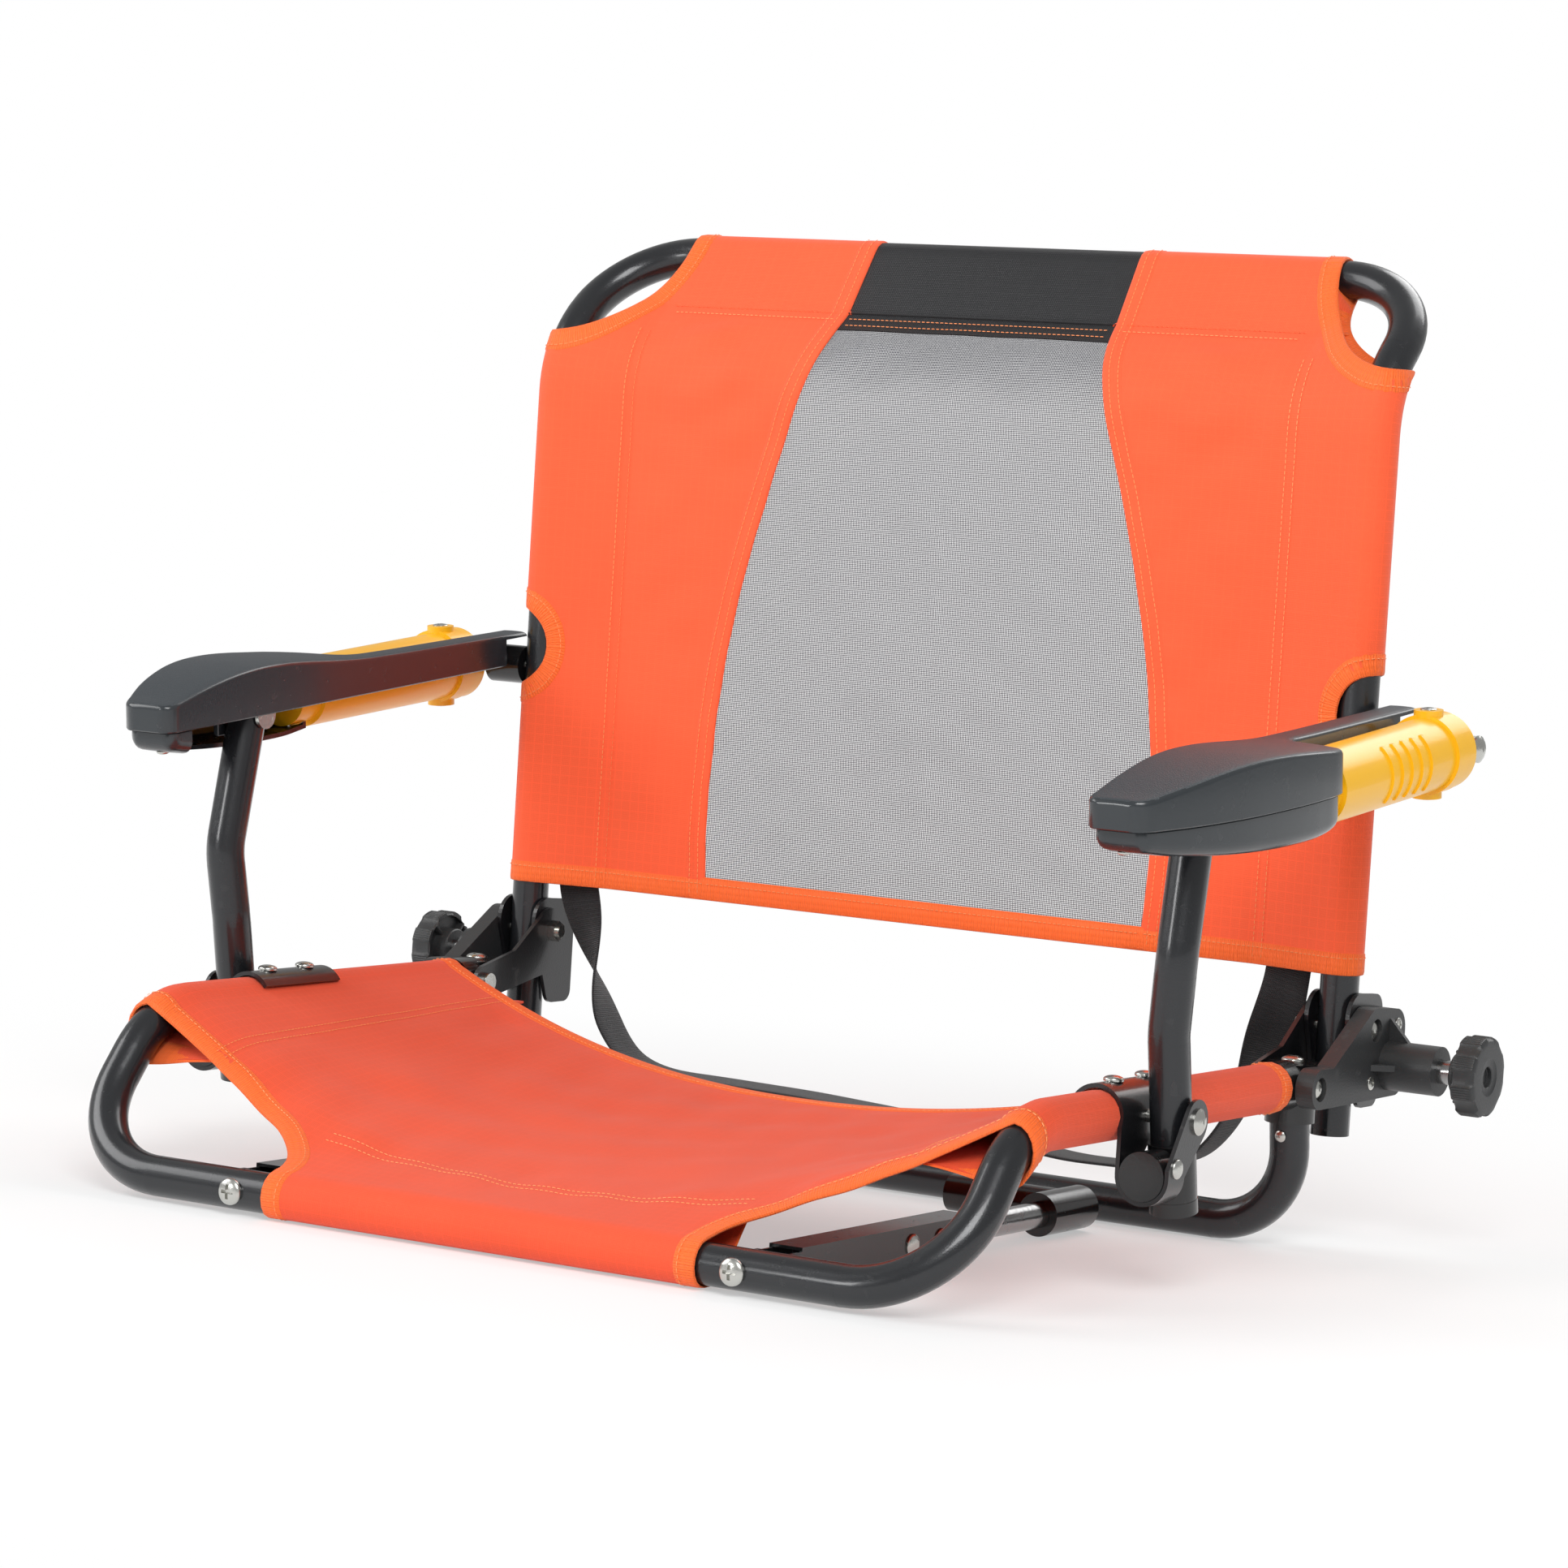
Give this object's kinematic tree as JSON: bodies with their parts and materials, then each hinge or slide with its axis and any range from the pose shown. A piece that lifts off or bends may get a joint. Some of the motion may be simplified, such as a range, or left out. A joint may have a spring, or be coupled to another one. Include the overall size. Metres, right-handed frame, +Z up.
{
  "type": "rocking bleacher seat",
  "caption": "Low folding stadium seat: sling seat and back on bent tube, sprung rocking arms, recline locks with pull knobs, and bench hooks.",
  "frame": {"origin": "on the floor under the middle of the seat's whole box", "axes": "+Z up, +X to the right as seen from the front, the front faces -Y"},
  "size_m": [0.6222, 0.4488, 0.4769],
  "materials": {
    "frame_paint": "satin",
    "bracket_paint": "satin",
    "black_gloss": "gloss",
    "dark_plastic": "matte",
    "arm_plastic": "grained top, glossy sides",
    "yellow_plastic": "semi-gloss",
    "pale_plastic": "matte",
    "zinc": "zinc",
    "steel_rod": "polished",
    "seat_cloth": "woven",
    "back_cloth": "woven",
    "mesh_cloth": "mesh",
    "webbing": "ribbed webbing"
  },
  "bodies": {
    "seat": {"seat_frame": "frame_paint", "floor_leg": "frame_paint", "rail_connectors": "black_gloss", "connector_screws": "zinc", "leg_screws": "zinc", "seat_sling": "seat_cloth", "seat_sleeves": "seat_cloth", "strap_brackets": "bracket_paint", "bracket_rivets": "zinc", "stop_inserts": "dark_plastic", "insert_rivets": "zinc", "post_pivot_bolts": "zinc", "rocker_bolts": "zinc", "hook_bolts": "zinc", "hook_brackets": "bracket_paint", "hook_pins": "zinc", "hook_channels": "bracket_paint", "hook_rivets": "zinc"},
    "rocker": {"inner_link_plates": "bracket_paint", "lock_housing_left": "dark_plastic", "lock_housing_right": "dark_plastic", "link_bolts": "zinc", "housing_screws": "zinc", "plunger_springs": "zinc"},
    "index": {"index_saddles": "bracket_paint"},
    "back": {"back_frame": "frame_paint", "tail_caps": "black_gloss", "back_panels": "back_cloth", "back_mesh": "mesh_cloth", "arm_pivot_bolts": "zinc", "arm_knuckles": "dark_plastic", "arm_washers": "zinc", "carry_strap": "webbing"},
    "posts": {"post_left": "frame_paint", "post_right": "frame_paint", "post_shoes": "dark_plastic"},
    "arm_bolt_pair": {"arm_bolts": "zinc"},
    "arm_bush_set": {"arm_bushes": "zinc"},
    "arms": {"arm_shell_left": "arm_plastic", "arm_shell_right": "arm_plastic", "arm_cover_left": "arm_plastic", "arm_cover_right": "arm_plastic", "arm_screws": "zinc", "spring_housing_left": "yellow_plastic", "spring_housing_right": "yellow_plastic", "ring_screws": "zinc", "rock_springs": "zinc"},
    "guides": {"guide_rings": "pale_plastic"},
    "rods": {"piston_rods": "steel_rod"},
    "plunger_l": {"plunger_left": "steel_rod"},
    "plunger_r": {"plunger_right": "steel_rod"},
    "knob_l": {"knob_left": "dark_plastic"},
    "knob_r": {"knob_right": "dark_plastic"},
    "slider_l": {"hook_slider_left": "pale_plastic"},
    "slider_r": {"hook_slider_right": "pale_plastic"},
    "hook_l": {"hook_rod_left": "steel_rod", "hook_grip_left": "dark_plastic"},
    "hook_r": {"hook_rod_right": "steel_rod", "hook_grip_right": "dark_plastic"}
  },
  "joints": [
    {"name": "rock", "type": "hinge", "parent": "seat", "child": "rocker", "pos_m": [0, 0.0985, 0.0804], "axis": [-1, 0, 0], "range_deg": [0, 10], "stiffness_Nm_per_rad": 120, "springref_deg": -3.44},
    {"name": "recline", "type": "hinge", "parent": "rocker", "child": "index", "pos_m": [0, 0.1565, 0.1047], "axis": [-1, 0, 0], "range_deg": [0, 8]},
    {"name": "fold", "type": "hinge", "parent": "index", "child": "back", "pos_m": [0, 0.1565, 0.1047], "axis": [-1, 0, 0], "range_deg": [-80, 0]},
    {"name": "post_swing", "type": "hinge", "parent": "seat", "child": "posts", "pos_m": [0, -0.0615, 0.08], "axis": [-1, 0, 0], "range_deg": [-80.5, 0.5]},
    {"name": "arm_level", "type": "hinge", "parent": "posts", "child": "arm_bolt_pair", "pos_m": [0, -0.0615, 0.2193], "axis": [-1, 0, 0], "range_deg": [-0.5, 80.5]},
    {"name": "arm_recline_turn", "type": "hinge", "parent": "arm_bolt_pair", "child": "arm_bush_set", "pos_m": [0, -0.0615, 0.2193], "axis": [-1, 0, 0], "range_deg": [-0.1, 1.1]},
    {"name": "arm_rock_turn", "type": "hinge", "parent": "arm_bush_set", "child": "arms", "pos_m": [0, -0.0615, 0.2193], "axis": [-1, 0, 0], "range_deg": [-0.1, 3.8]},
    {"name": "rod_recline", "type": "slide", "parent": "arms", "child": "guides", "axis": [0, 0.9936, 0.1126], "range_m": [-0.0005, 0.0198]},
    {"name": "rod_rock", "type": "slide", "parent": "guides", "child": "rods", "axis": [0, 0.9936, 0.1126], "range_m": [-0.0005, 0.027]},
    {"name": "plunger_pull_left", "type": "slide", "parent": "rocker", "child": "plunger_l", "axis": [-1, 0, 0], "range_m": [0, 0.008], "stiffness_N_per_m": 900, "springref_m": -0.006},
    {"name": "knob_turn_left", "type": "hinge", "parent": "plunger_l", "child": "knob_l", "pos_m": [0, 0.1725, 0.087], "axis": [-1, 0, 0], "range_deg": [0, 90]},
    {"name": "hook_slide_left", "type": "slide", "parent": "seat", "child": "slider_l", "axis": [0, 1, 0], "range_m": [-0.06, 0.02]},
    {"name": "hook_turn_left", "type": "hinge", "parent": "slider_l", "child": "hook_l", "pos_m": [-0.141, 0, 0.011], "axis": [0, 1, 0], "range_deg": [0, 90]},
    {"name": "plunger_pull_right", "type": "slide", "parent": "rocker", "child": "plunger_r", "axis": [1, 0, 0], "range_m": [0, 0.008], "stiffness_N_per_m": 900, "springref_m": -0.006},
    {"name": "knob_turn_right", "type": "hinge", "parent": "plunger_r", "child": "knob_r", "pos_m": [0, 0.1725, 0.087], "axis": [1, 0, 0], "range_deg": [0, 90]},
    {"name": "hook_slide_right", "type": "slide", "parent": "seat", "child": "slider_r", "axis": [0, 1, 0], "range_m": [-0.06, 0.02]},
    {"name": "hook_turn_right", "type": "hinge", "parent": "slider_r", "child": "hook_r", "pos_m": [0.141, 0, 0.011], "axis": [0, -1, 0], "range_deg": [0, 90]}
  ],
  "couplings": [
    {"joint": "post_swing", "follows": "fold", "ratio": 1},
    {"joint": "arm_level", "follows": "fold", "ratio": -1},
    {"joint": "arm_recline_turn", "follows": "recline", "ratio": 0.118},
    {"joint": "arm_rock_turn", "follows": "rock", "ratio": 0.364},
    {"joint": "rod_recline", "follows": "recline", "m_per_rad": 0.1365},
    {"joint": "rod_rock", "follows": "rock", "m_per_rad": 0.1506}
  ]
}
